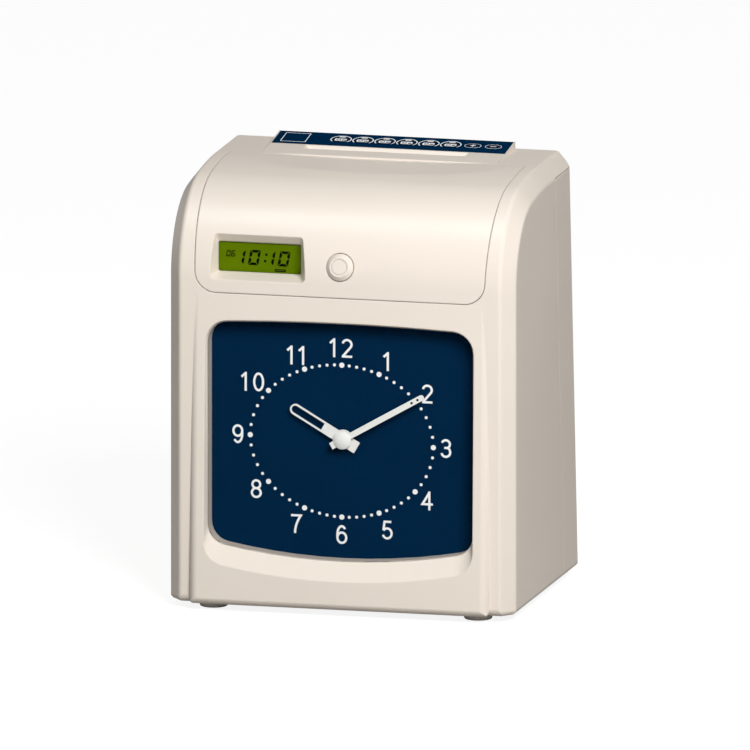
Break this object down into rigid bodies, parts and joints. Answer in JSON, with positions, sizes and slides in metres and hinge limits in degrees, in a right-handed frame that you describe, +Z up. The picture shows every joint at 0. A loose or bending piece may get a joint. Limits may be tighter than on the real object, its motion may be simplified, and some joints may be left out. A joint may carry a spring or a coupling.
{
  "type": "time clock",
  "caption": "Desk time clock with an analogue dial, a display and keypad, a top card slot and a card printer under a hinged lid.",
  "frame": {"origin": "on the desk, under the middle of the case's width and depth", "axes": "+X to the viewer's right, +Y to the back, +Z up"},
  "size_m": [0.2, 0.1597, 0.2493],
  "materials": {
    "cream_plastic": "fine matt moulding",
    "white_plastic": "satin",
    "pale_rubber": "matt",
    "navy_plastic": "matt, printed",
    "clear_window": "clear",
    "display_green": "flat display face",
    "steel": "plain",
    "brass": "plain",
    "circuit_board": "lacquered",
    "black_plastic": "matt",
    "black_rubber": "matt"
  },
  "bodies": {
    "housing": {"front_housing": "cream_plastic", "rear_cover": "cream_plastic", "dial_frame": "cream_plastic", "feet": "pale_rubber", "dial_plate": "navy_plastic", "keypad_overlay": "navy_plastic", "backup_battery": "navy_plastic", "dial_lens": "clear_window", "base_plate": "steel", "backing_plate": "steel", "dial_screws": "steel", "movement_plate": "steel", "hinge_pins": "steel", "chassis_left": "steel", "chassis_right": "steel", "card_guide_front": "steel", "card_guide_rear": "steel", "guide_rod": "steel", "transformer": "steel", "rear_screws": "steel", "base_screws": "steel", "keypad_board": "circuit_board", "main_board": "circuit_board", "clock_motor": "black_plastic", "feed_motor": "black_plastic", "carriage_motor": "black_plastic", "ribbon_cassette": "black_plastic", "power_inlet": "black_plastic", "platen": "black_rubber"},
    "minute": {"minute_arbor": "brass", "minute_hand": "white_plastic", "hand_cap": "white_plastic"},
    "hour": {"hour_wheel": "brass", "hour_hand": "white_plastic"},
    "motion": {"motion_wheel": "brass"},
    "clock_pinion": {"motor_pinion": "steel"},
    "lid": {"access_cover": "cream_plastic", "lcd_window": "clear_window", "lcd_panel": "display_green", "lcd_board": "circuit_board", "button_retainer": "steel", "button_spring": "steel"},
    "button": {"release_button": "cream_plastic"},
    "feed": {"feed_shaft": "steel", "feed_tyres": "black_rubber", "feed_gear": "white_plastic"},
    "pinch": {"pinch_roller": "black_rubber"},
    "feed_drive": {"feed_pinion": "brass"},
    "carriage": {"print_carriage": "black_plastic", "print_head": "steel"},
    "screw": {"lead_screw": "steel"},
    "knob": {"ribbon_knob": "white_plastic"},
    "key_1_cap": {"key_1": "navy_plastic"},
    "key_2_cap": {"key_2": "navy_plastic"},
    "key_3_cap": {"key_3": "navy_plastic"},
    "key_4_cap": {"key_4": "navy_plastic"},
    "key_5_cap": {"key_5": "navy_plastic"},
    "key_6_cap": {"key_6": "navy_plastic"},
    "function_key_left_cap": {"function_key_left": "navy_plastic"},
    "function_key_right_cap": {"function_key_right": "navy_plastic"}
  },
  "joints": [
    {"name": "minute_turn", "type": "hinge", "parent": "housing", "child": "minute", "pos_m": [0, -0.05, 0.1], "axis": [0, 1, 0], "continuous": true},
    {"name": "hour_turn", "type": "hinge", "parent": "housing", "child": "hour", "pos_m": [0, -0.06, 0.1], "axis": [0, 1, 0], "continuous": true},
    {"name": "motion_turn", "type": "hinge", "parent": "housing", "child": "motion", "pos_m": [0.0192, -0.057, 0.1], "axis": [0, 1, 0], "continuous": true},
    {"name": "clock_pinion_turn", "type": "hinge", "parent": "housing", "child": "clock_pinion", "pos_m": [-0.0198, -0.05, 0.0802], "axis": [0, 1, 0], "continuous": true},
    {"name": "lid_hinge", "type": "hinge", "parent": "housing", "child": "lid", "pos_m": [0, 0.02645, 0.2373], "axis": [-1, 0, 0], "range_deg": [0, 60]},
    {"name": "release_push", "type": "slide", "parent": "lid", "child": "button", "axis": [0, 0.9813, -0.1925], "range_m": [0, 0.0025], "stiffness_N_per_m": 300, "deforming": ["button_spring"]},
    {"name": "key_1_push", "type": "slide", "parent": "housing", "child": "key_1_cap", "axis": [0, 0.1273, -0.9919], "range_m": [0, 0.0005], "stiffness_N_per_m": 1500},
    {"name": "key_2_push", "type": "slide", "parent": "housing", "child": "key_2_cap", "axis": [0, 0.1273, -0.9919], "range_m": [0, 0.0005], "stiffness_N_per_m": 1500},
    {"name": "key_3_push", "type": "slide", "parent": "housing", "child": "key_3_cap", "axis": [0, 0.1273, -0.9919], "range_m": [0, 0.0005], "stiffness_N_per_m": 1500},
    {"name": "key_4_push", "type": "slide", "parent": "housing", "child": "key_4_cap", "axis": [0, 0.1273, -0.9919], "range_m": [0, 0.0005], "stiffness_N_per_m": 1500},
    {"name": "key_5_push", "type": "slide", "parent": "housing", "child": "key_5_cap", "axis": [0, 0.1273, -0.9919], "range_m": [0, 0.0005], "stiffness_N_per_m": 1500},
    {"name": "key_6_push", "type": "slide", "parent": "housing", "child": "key_6_cap", "axis": [0, 0.1273, -0.9919], "range_m": [0, 0.0005], "stiffness_N_per_m": 1500},
    {"name": "function_key_left_push", "type": "slide", "parent": "housing", "child": "function_key_left_cap", "axis": [0, 0.1273, -0.9919], "range_m": [0, 0.0005], "stiffness_N_per_m": 1500},
    {"name": "function_key_right_push", "type": "slide", "parent": "housing", "child": "function_key_right_cap", "axis": [0, 0.1273, -0.9919], "range_m": [0, 0.0005], "stiffness_N_per_m": 1500},
    {"name": "feed_turn", "type": "hinge", "parent": "housing", "child": "feed", "pos_m": [0, 0.03835, 0.1908], "axis": [1, 0, 0], "continuous": true},
    {"name": "pinch_turn", "type": "hinge", "parent": "housing", "child": "pinch", "pos_m": [0, 0.02335, 0.1908], "axis": [1, 0, 0], "continuous": true},
    {"name": "feed_drive_turn", "type": "hinge", "parent": "housing", "child": "feed_drive", "pos_m": [0.059, 0.03835, 0.174], "axis": [1, 0, 0], "continuous": true},
    {"name": "carriage_slide", "type": "slide", "parent": "housing", "child": "carriage", "axis": [1, 0, 0], "range_m": [-0.03, 0.03]},
    {"name": "screw_turn", "type": "hinge", "parent": "housing", "child": "screw", "pos_m": [0, 0.00195, 0.1998], "axis": [1, 0, 0], "continuous": true},
    {"name": "knob_turn", "type": "hinge", "parent": "housing", "child": "knob", "pos_m": [-0.04, -0.01605, 0.2208], "axis": [0, 0, 1], "continuous": true}
  ],
  "couplings": [
    {"joint": "hour_turn", "follows": "minute_turn", "ratio": 0.083333},
    {"joint": "motion_turn", "follows": "minute_turn", "ratio": -0.33333},
    {"joint": "clock_pinion_turn", "follows": "minute_turn", "ratio": -6},
    {"joint": "pinch_turn", "follows": "feed_turn", "ratio": -1.7037},
    {"joint": "feed_drive_turn", "follows": "feed_turn", "ratio": -2.5},
    {"joint": "screw_turn", "follows": "carriage_slide", "rad_per_m": 523.6}
  ]
}
